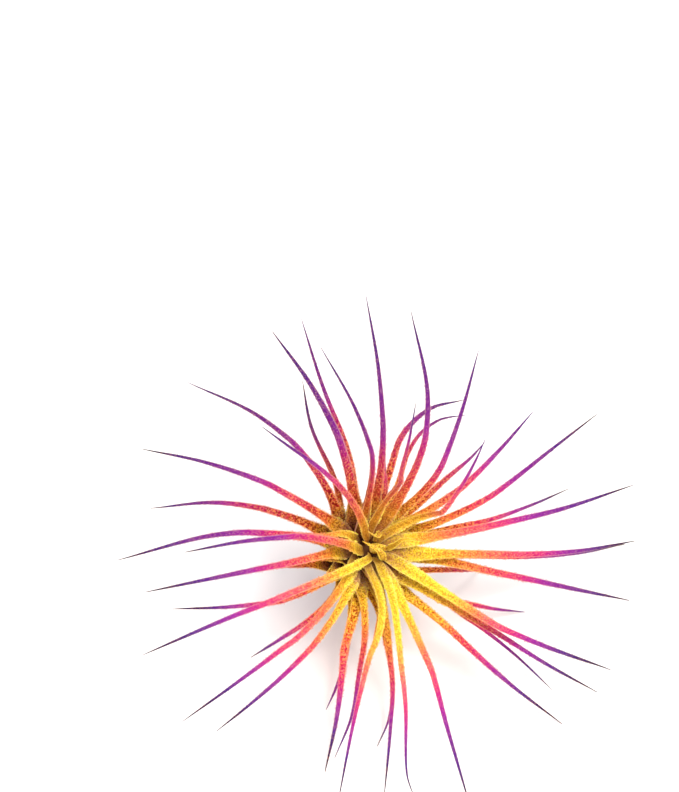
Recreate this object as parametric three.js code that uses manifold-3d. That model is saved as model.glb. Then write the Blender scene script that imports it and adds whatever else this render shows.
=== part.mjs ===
// Guatemala ionantha air plant: a bare plant that lies on its own leaf tips.
// Millimetres, +Z up, +X to the right, +Y away from the front.
import * as THREE from 'three';
import Module from 'manifold-3d';

// The plant leans towards the front right, so its rosette faces up and forward.
const HEART_HEIGHT = 28;         // growing point above the table
const STEM_LENGTH = 15.5;        // stub that carries the leaves
const STEM_TOP_RADIUS = 1.5;
const BUD_HEIGHT = 3.8;          // rolled bud of the next leaves, above the growing point
const BUD_RADIUS = 1.3;
const BUD_TIP_RADIUS = 0.4;
const STEM_FOOT_RADIUS = 3.7;
const INTERNODE = 0.275;         // stem length from one leaf to the next
const GOLDEN_TURN = 137.508;     // degrees from one leaf to the next
const FIRST_TURN = 309;          // degrees, where the youngest leaf stands
const STEM_CLEARANCE = 0.85;     // leaf middle line to stem surface
const LEAF_CLEARANCE = 0.42;     // free air between two leaves
const BASE_LEAN = 27;            // degrees that a leaf base leans off the stem
const BASE_RUN = 4.6;            // length of that first straight run
const THROAT_RADIUS = 10;        // where a leaf bends out of the rosette
const THROAT_TOP = 8;            // height of the youngest throat over the heart
const THROAT_STEP = 0.235;       // each older throat sits this much lower
const DIP = 0.34;                // resting tips are pressed flat by this much
const STATIONS = 25;             // points along a leaf's middle line
const RINGS = 13;                // sections of the solid

// Directions of the leaf list: across, up and towards the viewer at 45 degrees.
const HALF = Math.SQRT1_2;
const ACROSS = new THREE.Vector3(1, 0, 0);
const UP = new THREE.Vector3(0, HALF, HALF);
const TOWARD = new THREE.Vector3(0, -HALF, HALF);
const HEART = new THREE.Vector3(0, 0, HEART_HEIGHT);

function place(across, up, toward) {
  return new THREE.Vector3()
    .addScaledVector(ACROSS, across)
    .addScaledVector(UP, up)
    .addScaledVector(TOWARD, toward);
}

const AXIS = place(0.483, 0.129, 0.866).normalize();
const EAST = ACROSS.clone().addScaledVector(AXIS, -ACROSS.dot(AXIS)).normalize();
const NORTH = new THREE.Vector3().crossVectors(AXIS, EAST);

// Each leaf, youngest first: blade width, then the points that its middle line
// passes, in mm from the growing point: across, up, towards the viewer.
// A leaf marked table ends on the table and needs no third number there.
const TABLE = 'table';
const LEAVES = [
  [1.2, [1, -1.0, 4.0], [0.3, -0.2, 6.4], [-2.8, 1.5, 7.0]],
  [1, [0.2, 2.3, 3.4], [-1.6, 3.4, 5.4]],
  [1.8, [-11.7, -6.2, 13.4], [-17, -8.8, 14], [-30.4, -14.2, 11], [-46.6, -21.3, 4]],
  [1, [5.8, 1.8, 6.4], [10.6, 1.4, 8.8]],
  [1.7, [-5.2, 10.2, 12], [-11, 15.8, 14.6], [-18.2, 21, 16.4], [-22.8, 24.4, 17]],
  [1.7, [4.2, -18.6, 12.6], [5.7, -30.4, 14], [6.2, -45.4, 11], [7.8, -49.8, TABLE]],
  [1.6, [12.4, 6.8, 7], [16.5, 11.8, 12], [19.8, 17.8, 16], [21.6, 21.9, 18]],
  [1.85, [-10.4, 2.4, 12], [-20.4, 2.1, 14], [-27, 1.4, 14], [-38.2, -0.7, 11]],
  [1.9, [12.4, -8.2, 5.4], [19.4, -13.2, 6], [30.4, -18.3, 2], [47.4, -24.8, TABLE]],
  [1.7, [4.1, 11.4, 10], [5.0, 16, 15], [6.4, 21.6, 20], [7.8, 29.1, 25.4]],
  [1.9, [5.2, -9.8, 9.8], [-0.1, -17.8, 13.6], [-3.6, -30, 14.4], [-7.6, -50.4, TABLE]],
  [1.9, [12, 1.6, 2], [22.2, 4.3, 1], [36.6, 7.6, -4], [51.9, 12.5, -12]],
  [1.4, [-9.4, 2.6, 8.8], [-15.4, 2.6, 10.2], [-22, 2.1, 9.6]],
  [1.9, [5.4, -12.6, 6], [10.2, -22.2, 7.6], [14.2, -36, 8.6], [18.8, -51.6, TABLE]],
  [1.9, [7.2, 12, 4.6], [9.4, 20, 7], [10.2, 31, 6], [7.0, 47.4, 0]],
  [1.8, [-10.4, -13.2, 11.6], [-19.8, -20.6, 12], [-28, -26.8, 9], [-38.8, -34.7, 3]],
  [1.9, [16, -1.0, 0], [27, -1.4, -2], [40, -0.8, -8], [52.5, 1.2, -17]],
  [1.8, [0.3, 13, 7], [-1.4, 20.4, 9.4], [-4.6, 28.6, 10.4], [-11.2, 40.4, 9]],
  [1.2, [0.6, -12.6, 5.4], [-0.6, -19, 7], [-2.6, -26, 8]],
  [1.9, [9.4, 6.4, 1], [17.4, 12.4, 1.6], [24.8, 19.7, -2], [31.6, 27.3, -8]],
  [1.8, [-9, -1.2, 8.6], [-22.4, -3.8, 9], [-34, -6.2, 7], [-46.2, -8.8, 3]],
  [1.9, [14.4, -11.2, 2.6], [24, -17, 1], [33.4, -22.9, -2.6], [44.6, -29.2, TABLE]],
  [1.8, [1.4, 12, 3.4], [1.4, 22, 5], [0.4, 36, 2], [-2, 50.6, -5]],
  [1.8, [-8.4, -14.4, 7.6], [-17, -23.8, 6.6], [-25, -31, 3], [-32, -36.8, TABLE]],
  [1.9, [14.4, -3.2, -2], [27, -5.6, -7], [40, -8.5, -16], [51.6, -11.1, TABLE]],
  [1.8, [-9, 5.4, 6], [-19, 11.6, 6], [-33, 16.8, 2], [-47, 19.8, -5]],
  [1.7, [2.2, -18.4, 4.6], [3.2, -27, 6], [2.8, -36, 7], [1.6, -49.4, TABLE]],
  [1.8, [9.6, 9.4, 1], [13.6, 17.8, 2.6], [17, 27, 1], [20.6, 39.6, -5]],
  [1.5, [-10.4, -1.8, 5], [-19, -3.4, 4.6], [-28, -4.9, 1]],
  [1.4, [14.4, -11.4, -1], [21, -16, -3], [28, -21.6, -6], [35.6, -28.8, -9]],
  [2.4, [-5, 14.2, 3], [-7.6, 22, 4], [-13.0, 32.4, 2], [-20.8, 43.4, -3]],
  [1.9, [-1.8, -14, 5], [-3.4, -24.4, 7.4], [-5, -33.4, 7], [-8.6, -41.8, 5]],
  [1.7, [12.2, 4.0, -1.6], [22, 9.6, -5], [36.2, 20.3, -13.4], [44.8, 26.8, -20]],
  [1.8, [-11, 1.8, 5], [-19, 3.0, 4], [-32, 2.6, 0], [-52, -2.6, -9]],
  [2.3, [10.6, -12.4, 0], [17.6, -19.2, -2.4], [26.6, -27.2, -4], [37.4, -35.4, TABLE]],
  [1.5, [1.8, 11, -2], [1.6, 17, -4], [2.0, 23, -8]],
  [1.7, [-10, -7, 4], [-17, -10, 3], [-28, -11.7, -2], [-41, -12.4, -9]],
  [1.7, [13, -1.2, -7], [28, -2.0, -16], [40.4, -1.5, -27], [51, 0.2, TABLE]],
  [1.9, [-8.6, 11.4, 2], [-12.6, 17, 1.4], [-23.4, 26.2, -3], [-38, 33.2, -14]],
  [2.2, [-5.6, -15, 3], [-6.8, -25, 4], [-7.9, -34, 4.6], [-10.2, -44.7, TABLE]],
  [1.3, [4.4, 13.4, -8], [8, 21.6, -14], [12.6, 25.4, -21], [18.7, 26.6, -30]],
  [1.3, [-12.6, -1.6, 4.4], [-17.6, -2.6, 2.6], [-23.6, -3.8, -1]],
  [1.6, [11, -4.6, -9], [18, -4.8, -19], [21.6, -4.5, TABLE]],
  [1.7, [-3, 13, -1], [-6.6, 22, -3], [-10.6, 32, -7], [-15, 46, -16]],
  [1.7, [-7.6, -9.6, 2], [-14, -14.8, 0], [-19, -18.2, -4], [-25.2, -22.2, -10]],
  [1.5, [13, 3.6, -9], [22, 5.2, -14], [31.6, 8.4, -22], [39.3, 11.6, -30]],
  [1.9, [-11, 4.2, 0], [-19.6, 7.0, -4], [-31.6, 8.9, -10], [-45.6, 7.7, -20]],
  [1.6, [1.6, -17, -1], [3.2, -26, -1], [2.6, -34, -1], [0.2, -39.8, TABLE]],
  [2.0, [2.6, 14.6, -8.4], [5, 22, -13], [10.6, 27.6, -20], [17.8, 29.6, -28]],
  [1.6, [-14.6, -3, 1], [-18.4, -3.6, -8], [-17.6, -3.3, TABLE]],
  [1.8, [11, -10.2, -9], [18.4, -11.4, -15], [24, -12.6, -20], [30.3, -13.4, TABLE]],
  [1.9, [-6.4, 10, -5], [-9.6, 16.4, -9], [-13, 24, -15], [-14.8, 33.5, -24]],
  [1.9, [-5.2, -14, -2], [-6.2, -22, -3], [-8, -28, -4], [-10, -32.6, TABLE]],
  [1.8, [9, 9, -12], [13.6, 13.2, -18], [19.2, 17.8, -26], [22.2, 21, -32]],
];

// Width and thickness along a leaf, as pairs of share along it and size.
const WIDTH_SHARE = [[0, 0.95], [0.08, 1.45], [0.15, 1.5], [0.22, 1.18], [0.3, 0.93],
  [0.45, 0.76], [0.7, 0.52], [0.88, 0.37], [1, 0.36]];
const LEAST_WIDTH = 0.64;
const SHEATH_GROWN = 18;         // from this leaf on, sheaths have their full width
const THROAT_SHARE = 0.95;       // sheath of the youngest leaf
const THICKNESS = [[0, 0.62], [0.25, 0.72], [0.5, 0.78], [0.8, 0.68], [1, 0.64]];
const CHANNEL = [[0, 0.16], [0.2, 0.2], [0.5, 0.2], [0.85, 0.1], [1, 0.04]];

// Colours along the list: inner leaves are pink and purple, outer ones redder.
const INNER_COLOUR = new THREE.Color('#b4558c');
const OUTER_COLOUR = new THREE.Color('#c2603f');

function read(curve, share) {
  let i = 1;
  while (i < curve.length - 1 && curve[i][0] < share) i += 1;
  const [x0, y0] = curve[i - 1];
  const [x1, y1] = curve[i];
  return y0 + (y1 - y0) * (share - x0) / (x1 - x0);
}

function around(turn) {
  const angle = turn * Math.PI / 180;
  return new THREE.Vector3()
    .addScaledVector(EAST, Math.cos(angle))
    .addScaledVector(NORTH, Math.sin(angle));
}

// A point of the leaf list in the room, with table tips set on the table.
function waypoint(row) {
  const toward = row[2] === TABLE ? -HEART_HEIGHT / HALF - row[1] : row[2];
  return place(row[0], row[1], toward).add(HEART);
}

// A smooth line through the points, walked in equal steps.
function walk(points, count) {
  const line = new THREE.CatmullRomCurve3(points, false, 'centripetal');
  const dense = [];
  for (let i = 0; i <= 400; i += 1) dense.push(line.getPoint(i / 400));
  const reach = [0];
  for (let i = 1; i < dense.length; i += 1) {
    reach.push(reach[i - 1] + dense[i].distanceTo(dense[i - 1]));
  }
  const result = [];
  let k = 1;
  for (let i = 0; i < count; i += 1) {
    const goal = reach[reach.length - 1] * i / (count - 1);
    while (k < reach.length - 1 && reach[k] < goal) k += 1;
    const share = (goal - reach[k - 1]) / (reach[k] - reach[k - 1]);
    result.push(dense[k - 1].clone().lerp(dense[k], share));
  }
  return result;
}

// Evens out the bend where a leaf leaves the rosette; the blade stays put.
function ease(points) {
  for (let pass = 0; pass < 30; pass += 1) {
    const old = points.map((p) => p.clone());
    for (let i = 2; i < 12; i += 1) {
      const middle = old[i - 1].clone().add(old[i + 1]).multiplyScalar(0.5);
      points[i].lerp(middle, 0.5 * Math.min((12 - i) / 4, 1));
    }
  }
  return points;
}

function stemRadius(drop) {
  const share = Math.min(drop / STEM_LENGTH, 1);
  return STEM_TOP_RADIUS + (STEM_FOOT_RADIUS - STEM_TOP_RADIUS) * Math.pow(share, 0.8);
}

// Tangent, side and face direction at each station, carried without twist.
function frames(leaf) {
  const last = leaf.points.length - 1;
  let side = new THREE.Vector3().crossVectors(AXIS, leaf.out).normalize();
  leaf.tangents = [];
  leaf.sides = [];
  leaf.faces = [];
  for (let i = 0; i <= last; i += 1) {
    const before = leaf.points[Math.max(i - 1, 0)];
    const after = leaf.points[Math.min(i + 1, last)];
    const tangent = after.clone().sub(before).normalize();
    side = side.clone().addScaledVector(tangent, -side.dot(tangent)).normalize();
    leaf.tangents.push(tangent);
    leaf.sides.push(side);
    leaf.faces.push(new THREE.Vector3().crossVectors(tangent, side));
  }
}

// Width of the leaf at a station, kept narrow while it is close to the stem.
// The sheath swells wider than the blade, and it does so with age.
function widthAt(leaf, i) {
  const share = i / (leaf.points.length - 1);
  const age = Math.min(leaf.order / SHEATH_GROWN, 1);
  const full = read(WIDTH_SHARE, share);
  const grown = full > THROAT_SHARE ? THROAT_SHARE + (full - THROAT_SHARE) * age : full;
  const wanted = Math.max(leaf.width * grown, LEAST_WIDTH);
  if (share > (leaf.small ? 0.26 : 0.34)) return wanted;
  const arm = leaf.points[i].clone().sub(HEART);
  const off = arm.addScaledVector(AXIS, -arm.dot(AXIS)).length();
  return Math.min(wanted, Math.max(0.55 * off - 0.4, 0.7));
}

// The throat stands between the leaf's own turn on the stem and its blade.
function throat(order, out, middle) {
  const arm = middle.clone().sub(HEART);
  arm.addScaledVector(AXIS, -arm.dot(AXIS)).normalize();
  const heading = arm.lerp(out, 0.5).normalize();
  return HEART.clone()
    .addScaledVector(AXIS, THROAT_TOP - THROAT_STEP * order)
    .addScaledVector(heading, THROAT_RADIUS);
}

const leaves = LEAVES.map((row, order) => {
  const drop = 0.5 + order * INTERNODE;
  const out = around(FIRST_TURN + GOLDEN_TURN * order);
  const foot = HEART.clone()
    .addScaledVector(AXIS, -drop)
    .addScaledVector(out, stemRadius(drop) + STEM_CLEARANCE);
  const small = order < 2 || order === 3;
  const lean = BASE_LEAN * Math.PI / 180;
  const run = small ? BASE_RUN * 0.4 : BASE_RUN;
  const shoulder = foot.clone()
    .addScaledVector(AXIS, run * Math.cos(lean))
    .addScaledVector(out, run * Math.sin(lean));
  const rests = row[row.length - 1][2] === TABLE;
  const way = row.slice(1).map(waypoint);
  const line = small ? [foot, shoulder, ...way] : [foot, shoulder, throat(order, out, way[0]), ...way];
  const points = ease(walk(line, STATIONS));
  const home = points.map((p) => p.clone());
  const leaf = { order, out, width: row[0], points, home, rests, small };
  frames(leaf);
  return leaf;
});

// Leaves that touch settle apart: each pair of stations that lies too close is
// eased apart along the leaf faces, the older leaf always to the outside near
// the stem, while leaf bases and tips stay where they are.
function settle(rounds) {
  const count = leaves.length;
  for (let round = 0; round < rounds; round += 1) {
    const moves = leaves.map(() => Array.from({ length: STATIONS }, () => new THREE.Vector3()));
    const sizes = leaves.map((leaf) => leaf.points.map((p, i) => widthAt(leaf, i)));
    for (let a = 0; a < count; a += 1) {
      for (let b = a + 1; b < count; b += 1) {
        for (let i = 1; i < STATIONS; i += 1) {
          for (let j = 1; j < STATIONS; j += 1) {
            const gap = leaves[a].points[i].clone().sub(leaves[b].points[j]);
            if (gap.lengthSq() > 20) continue;
            const faceA = leaves[a].faces[i];
            const faceB = leaves[b].faces[j];
            const face = faceA.clone();
            if (faceA.dot(faceB) < 0) face.sub(faceB);
            else face.add(faceB);
            face.normalize();
            const depth = gap.dot(face);
            const flat = gap.addScaledVector(face, -depth).length();
            const thick = (read(THICKNESS, i / (STATIONS - 1))
              + read(THICKNESS, j / (STATIONS - 1))) / 2;
            const need = thick + LEAF_CLEARANCE + 0.12;
            const wide = (sizes[a][i] + sizes[b][j]) / 2 + LEAF_CLEARANCE + 0.35;
            if (flat > wide) continue;
            const early = i < 8 && j < 8;
            const sign = early ? 1 : Math.sign(depth) || 1;
            const lack = need - depth * sign;
            if (lack <= 0) continue;
            const fade = flat < wide - 0.7 ? 1 : (wide - flat) / 0.7;
            const push = Math.min(lack, 0.5) * 0.35 * fade * sign;
            moves[a][i].addScaledVector(face, push);
            moves[b][j].addScaledVector(face, -push);
          }
        }
      }
    }
    leaves.forEach((leaf, n) => {
      const raw = moves[n];
      for (let i = 1; i < STATIONS; i += 1) {
        const step = raw[i].clone().multiplyScalar(0.5);
        step.addScaledVector(raw[i - 1], 0.25);
        step.addScaledVector(raw[Math.min(i + 1, STATIONS - 1)], 0.25);
        const length = step.length();
        if (length > 0.25) step.multiplyScalar(0.25 / length);
        let hold = Math.min(i / 3, 1);
        if (leaf.rests) hold *= Math.min((STATIONS - 1 - i) / 3, 1);
        leaf.points[i].addScaledVector(step, hold);
      }
      const shifts = leaf.points.map((p, i) => p.clone().sub(leaf.home[i]));
      for (let i = 1; i < STATIONS - 1; i += 1) {
        const middle = shifts[i - 1].clone().add(shifts[i + 1]).multiplyScalar(0.5);
        leaf.points[i].copy(leaf.home[i]).add(shifts[i].lerp(middle, 0.3));
      }
      frames(leaf);
    });
  }
}
settle(70);

// Closed skin over rings of eight points, with flat ends.
function skin(rings) {
  const count = rings[0].length;
  const verts = [];
  rings.forEach((ring) => ring.forEach((p) => verts.push(p.x, p.y, p.z)));
  const faces = [];
  for (let r = 0; r < rings.length - 1; r += 1) {
    for (let c = 0; c < count; c += 1) {
      const d = (c + 1) % count;
      const low = r * count;
      const high = low + count;
      faces.push(low + c, low + d, high + d, low + c, high + d, high + c);
    }
  }
  const end = (rings.length - 1) * count;
  for (let c = 1; c < count - 1; c += 1) {
    faces.push(0, c + 1, c);
    faces.push(end, end + c, end + c + 1);
  }
  return { verts: new Float32Array(verts), faces: new Uint32Array(faces) };
}

// Cross-section of a channelled leaf: margins raised, keel below.
const SECTION = [[-0.5, 1, 0], [-0.28, 0.31, -0.46], [0, 0, -0.5], [0.28, 0.31, -0.46],
  [0.5, 1, 0], [0.28, 0.31, 0.42], [0, 0, 0.5], [-0.28, 0.31, 0.42]];

function leafSkin(leaf) {
  const rings = [];
  for (let r = 0; r < RINGS; r += 1) {
    const i = r * (STATIONS - 1) / (RINGS - 1);
    const share = i / (STATIONS - 1);
    const width = widthAt(leaf, i);
    const thick = read(THICKNESS, share);
    const channel = width * read(CHANNEL, share);
    rings.push(SECTION.map(([x, rise, y]) => leaf.points[i].clone()
      .addScaledVector(leaf.sides[i], x * width)
      .addScaledVector(leaf.faces[i], rise * channel + y * thick - channel * 0.3)));
  }
  return skin(rings);
}

function stemSkin() {
  const rings = [];
  const steps = [STEM_LENGTH + 0.8, STEM_LENGTH, 12, 8, 4, 1.4, 0.4, -1.2, -BUD_HEIGHT];
  const last = steps.length - 1;
  steps.forEach((drop, n) => {
    let radius = n === 0 ? STEM_FOOT_RADIUS * 0.7 : stemRadius(Math.max(drop, 0));
    if (n === last - 1) radius = BUD_RADIUS;
    if (n === last) radius = BUD_TIP_RADIUS;
    const ring = [];
    for (let c = 0; c < 16; c += 1) {
      ring.push(HEART.clone()
        .addScaledVector(AXIS, -drop)
        .addScaledVector(around(c * 22.5), radius));
    }
    rings.push(ring);
  });
  return skin(rings);
}

const wasm = await Module();
wasm.setup();

function solid({ verts, faces }) {
  return new wasm.Manifold(new wasm.Mesh({ numProp: 3, vertProperties: verts, triVerts: faces }));
}

// A deep block under the table, made by hand, that trims the resting tips.
const BLOCK = 400;
const blockVerts = [];
for (const z of [-BLOCK, 0]) {
  blockVerts.push(-BLOCK, -BLOCK, z, BLOCK, -BLOCK, z, BLOCK, BLOCK, z, -BLOCK, BLOCK, z);
}
const table = solid({
  verts: new Float32Array(blockVerts),
  faces: new Uint32Array([0, 2, 1, 0, 3, 2, 4, 5, 6, 4, 6, 7, 0, 1, 5, 0, 5, 4,
    1, 2, 6, 1, 6, 5, 2, 3, 7, 2, 7, 6, 3, 0, 4, 3, 4, 7]),
});

function restOnTable(leaf, shape) {
  let lowest = Infinity;
  for (let i = 2; i < shape.verts.length; i += 3) lowest = Math.min(lowest, shape.verts[i]);
  if (!leaf.rests) return shape;
  const first = Math.floor(shape.verts.length / 24) - 4;
  for (let v = 0; v < shape.verts.length / 3; v += 1) {
    const ring = Math.floor(v / 8);
    const share = Math.max(ring - first, 0) / (RINGS - 1 - first);
    shape.verts[v * 3 + 2] -= (lowest + DIP) * share;
  }
  const cut = solid(shape).subtract(table).getMesh();
  return { verts: new Float32Array(cut.vertProperties), faces: new Uint32Array(cut.triVerts) };
}

const pieces = [['stem', stemSkin(), new THREE.Color('#8a6a4c'), 0.85]];
leaves.forEach((leaf) => {
  const name = `leaf_${String(leaf.order + 1).padStart(2, '0')}`;
  const colour = INNER_COLOUR.clone().lerp(OUTER_COLOUR, leaf.order / (LEAVES.length - 1));
  pieces.push([name, restOnTable(leaf, leafSkin(leaf)), colour, 0.7]);
});

// Centre of the box goes over the origin; the table stays at z = 0.
const box = new THREE.Box3();
for (const [, shape] of pieces) {
  for (let i = 0; i < shape.verts.length; i += 3) {
    box.expandByPoint(new THREE.Vector3(...shape.verts.slice(i, i + 3)));
  }
}
const shiftX = -(box.min.x + box.max.x) / 2;
const shiftY = -(box.min.y + box.max.y) / 2;

const plant = new THREE.Group();
plant.name = 'guatemala_ionantha_air_plant';
for (const [name, shape, color, roughness] of pieces) {
  const geometry = new THREE.BufferGeometry();
  geometry.setAttribute('position', new THREE.BufferAttribute(shape.verts, 3));
  geometry.setIndex(new THREE.BufferAttribute(shape.faces, 1));
  geometry.translate(shiftX, shiftY, 0);
  geometry.computeVertexNormals();
  const material = new THREE.MeshStandardMaterial({ color, roughness, metalness: 0 });
  const mesh = new THREE.Mesh(geometry, material);
  mesh.name = name;
  plant.add(mesh);
}
export default plant;
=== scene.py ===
# Guatemala ionantha air plant, leaning on a table on the tips of its leaves.
import math
import bpy
import numpy as np
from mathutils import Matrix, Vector


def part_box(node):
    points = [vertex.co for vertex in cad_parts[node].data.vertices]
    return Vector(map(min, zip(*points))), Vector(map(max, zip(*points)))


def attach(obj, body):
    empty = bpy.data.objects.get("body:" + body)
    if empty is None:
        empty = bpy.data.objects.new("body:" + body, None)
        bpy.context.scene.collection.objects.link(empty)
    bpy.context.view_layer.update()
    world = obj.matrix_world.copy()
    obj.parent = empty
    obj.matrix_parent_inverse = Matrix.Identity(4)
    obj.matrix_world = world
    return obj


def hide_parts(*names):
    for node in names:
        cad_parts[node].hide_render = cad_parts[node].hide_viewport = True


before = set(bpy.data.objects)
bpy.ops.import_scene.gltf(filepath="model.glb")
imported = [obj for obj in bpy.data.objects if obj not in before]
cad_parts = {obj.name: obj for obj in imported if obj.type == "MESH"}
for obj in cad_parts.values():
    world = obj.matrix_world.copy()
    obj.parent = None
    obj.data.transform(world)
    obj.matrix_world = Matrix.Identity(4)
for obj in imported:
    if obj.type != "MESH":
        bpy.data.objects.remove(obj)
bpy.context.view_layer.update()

# Stem: the short woody stub that carries every leaf, hidden inside the leaf
# bases. It grew with the plant; the leaves stand round it in a spiral, and its
# tilt sets how the whole plant leans. All sizes are in mm.
HEART_HEIGHT = 28.0
STEM_LENGTH = 15.5
STEM_TOP_RADIUS = 1.5
STEM_FOOT_RADIUS = 3.7
STEM_FLARE = 0.8
TOP_DROP = 0.4
BUD_HEIGHT = 3.8
BUD_BASE = 1.2
BUD_RADIUS = 1.3
BUD_TIP_RADIUS = 0.4
PLANT_LEAN = (0.483, 0.129, 0.866)
HALF = math.sqrt(0.5)
ACROSS = np.array([1.0, 0.0, 0.0])
UP = np.array([0.0, HALF, HALF])
TOWARD = np.array([0.0, -HALF, HALF])
HEART = np.array([0.0, 0.0, HEART_HEIGHT])
MM_IN_METRE = 1000.0


def unit(v):
    return v / np.linalg.norm(v, axis=-1, keepdims=True)


def place(across, up, toward):
    return ACROSS * across + UP * up + TOWARD * toward


AXIS = unit(place(*PLANT_LEAN))
EAST = unit(ACROSS - AXIS * ACROSS.dot(AXIS))
NORTH = np.cross(AXIS, EAST)


def around(turn):
    angle = math.radians(turn)
    return EAST * math.cos(angle) + NORTH * math.sin(angle)


def stem_radius(drop):
    share = min(drop / STEM_LENGTH, 1.0)
    return STEM_TOP_RADIUS + (STEM_FOOT_RADIUS - STEM_TOP_RADIUS) * share ** STEM_FLARE


# The solid stub is sixteen-sided, with the bud on top; its low corner tells
# where the plant stands in the shared frame.
SOLID_SIDES = 16
SOLID_RINGS = (STEM_LENGTH, 12.0, 8.0, 4.0, 1.4, TOP_DROP)
SOLID_FOOT = 0.8
SOLID_FOOT_PART = 0.7


def stem_ring(drop, radius):
    turns = (360.0 * corner / SOLID_SIDES for corner in range(SOLID_SIDES))
    return [HEART - AXIS * drop + around(turn) * radius for turn in turns]


stub = stem_ring(STEM_LENGTH + SOLID_FOOT, STEM_FOOT_RADIUS * SOLID_FOOT_PART)
for drop in SOLID_RINGS:
    stub += stem_ring(drop, stem_radius(drop))
stub += stem_ring(-BUD_BASE, BUD_RADIUS) + stem_ring(-BUD_HEIGHT, BUD_TIP_RADIUS)
low_corner = np.array(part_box("stem")[0]) * MM_IN_METRE
SHIFT = low_corner - np.min(np.array(stub), axis=0)
SHIFT[2] = 0.0


def metres(points):
    return (np.asarray(points) + SHIFT) / MM_IN_METRE


def colour(hex_code):
    # An sRGB hex value as the linear colour that the shaders work in.
    channels = [int(hex_code[i:i + 2], 16) / 255.0 for i in (1, 3, 5)]
    linear = [c / 12.92 if c <= 0.04045 else ((c + 0.055) / 1.055) ** 2.4 for c in channels]
    return (*linear, 1.0)


def node(tree, kind, inputs=None, **settings):
    made = tree.nodes.new(kind)
    for key, value in settings.items():
        setattr(made, key, value)
    for key, value in (inputs or {}).items():
        if isinstance(value, bpy.types.NodeSocket):
            tree.links.new(value, made.inputs[key])
        else:
            made.inputs[key].default_value = value
    return made


def fill_ramp(ramp, stops):
    band = ramp.color_ramp
    while len(band.elements) > 1:
        band.elements.remove(band.elements[-1])
    band.elements[0].position = stops[0][0]
    band.elements[0].color = colour(stops[0][1])
    for stop_at, code in stops[1:]:
        band.elements.new(stop_at).color = colour(code)


def fresh(name):
    made = bpy.data.materials.new(name)
    made.use_nodes = True
    made.node_tree.nodes.clear()
    return made


def select_only(piece):
    bpy.ops.object.select_all(action="DESELECT")
    piece.select_set(True)
    bpy.context.view_layer.objects.active = piece


def new_rod(name, sides, cuts):
    # A capped cylinder one unit tall, centred on its middle. Only the edges
    # that run along it are subdivided, which cuts it into rings.
    bpy.ops.object.select_all(action="DESELECT")
    bpy.ops.mesh.primitive_cylinder_add(vertices=sides, radius=1.0, depth=1.0)
    rod = bpy.context.active_object
    rod.name = rod.data.name = name
    bpy.ops.object.mode_set(mode="EDIT")
    bpy.ops.mesh.select_mode(type="EDGE")
    bpy.ops.mesh.select_all(action="DESELECT")
    bpy.ops.object.mode_set(mode="OBJECT")
    for edge in rod.data.edges:
        low, high = (rod.data.vertices[v].co.z for v in edge.vertices)
        edge.select = abs(low - high) > 0.5
    bpy.ops.object.mode_set(mode="EDIT")
    bpy.ops.mesh.subdivide(number_cuts=cuts)
    bpy.ops.object.mode_set(mode="OBJECT")
    return rod


# Dry fibrous stub, like cork bark: matt brown with rings where leaves came off.
# The fibres are drawn coarser than real, or they wouldn't show.
FIBRE_WIDTH = 1 / 0.9
FIBRE_RELIEF = 0.3
bark = fresh("dry_fibrous_stub")
tree = bark.node_tree
place_in = node(tree, "ShaderNodeTexCoord").outputs["Object"]
fibre = node(tree, "ShaderNodeTexNoise", {"Vector": place_in,
                                          "Scale": MM_IN_METRE / FIBRE_WIDTH, "Detail": 6.0})
tint = node(tree, "ShaderNodeValToRGB", {"Fac": fibre.outputs["Fac"]})
fill_ramp(tint, [(0.3, "#5a3d26"), (0.55, "#8a6a48"), (0.75, "#b89a72")])
# Painted shade: the top of the stub is drawn dark brown, so the gaps between the leaf bases
# read dark.
near_top = node(tree, "ShaderNodeAttribute", attribute_name="young_top_shade").outputs["Fac"]
bark_with_top_shade = node(tree, "ShaderNodeMix", {0: near_top, 6: tint.outputs["Color"],
                                      7: colour("#5a3410")}, data_type="RGBA")
rough = node(tree, "ShaderNodeBump", {"Height": fibre.outputs["Fac"], "Strength": 0.6,
                                      "Distance": FIBRE_RELIEF / MM_IN_METRE})
skin = node(tree, "ShaderNodeBsdfPrincipled", {"Base Color": bark_with_top_shade.outputs[2],
                                               "Roughness": 0.9,
                                               "Normal": rough.outputs["Normal"]})
node(tree, "ShaderNodeOutputMaterial", {"Surface": skin.outputs["BSDF"]})

# The stub is ringed with leaf scars. It draws in at the foot and, towards the
# growing point, to a neck of new tissue painted dark brown as shade between the leaf bases.
STEM_SIDES = 32
STEM_CUTS = 40
SCAR_DEPTH = 0.12
SCAR_RATE = 5.0
FOOT_SHARE = 0.93
FOOT_TAPER = 3.0
NECK_PART = 0.2
NECK_LENGTH = 6.0
# How far down the painted shade at the top of the stub reaches, and how it fades.
TOP_SHADE_LENGTH = 9.0
TOP_SHADE_FADE = 5.0
stem = new_rod("stem_stub", STEM_SIDES, STEM_CUTS)
# Marks the top of the stub, which is painted dark brown as shade.
young_top_shade = stem.data.attributes.new("young_top_shade", "FLOAT", "POINT")
for vertex in stem.data.vertices:
    share = 0.5 - vertex.co.z
    drop = TOP_DROP + share * STEM_LENGTH
    turn = math.degrees(math.atan2(vertex.co.y, vertex.co.x))
    scar = SCAR_DEPTH * math.sin(drop * SCAR_RATE + math.radians(turn)) - SCAR_DEPTH
    girth = stem_radius(drop) + scar
    if share > FOOT_SHARE:
        girth *= 1.0 - (share - FOOT_SHARE) * FOOT_TAPER
    girth *= min(NECK_PART + drop / NECK_LENGTH, 1.0)
    spot = HEART - AXIS * drop + around(turn) * girth
    vertex.co = Vector(metres(spot))
    young_top_shade.data[vertex.index].value = min(1.0, max(0.0, (TOP_SHADE_LENGTH - drop) / TOP_SHADE_FADE))
select_only(stem)
bpy.ops.object.mode_set(mode="EDIT")
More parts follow.
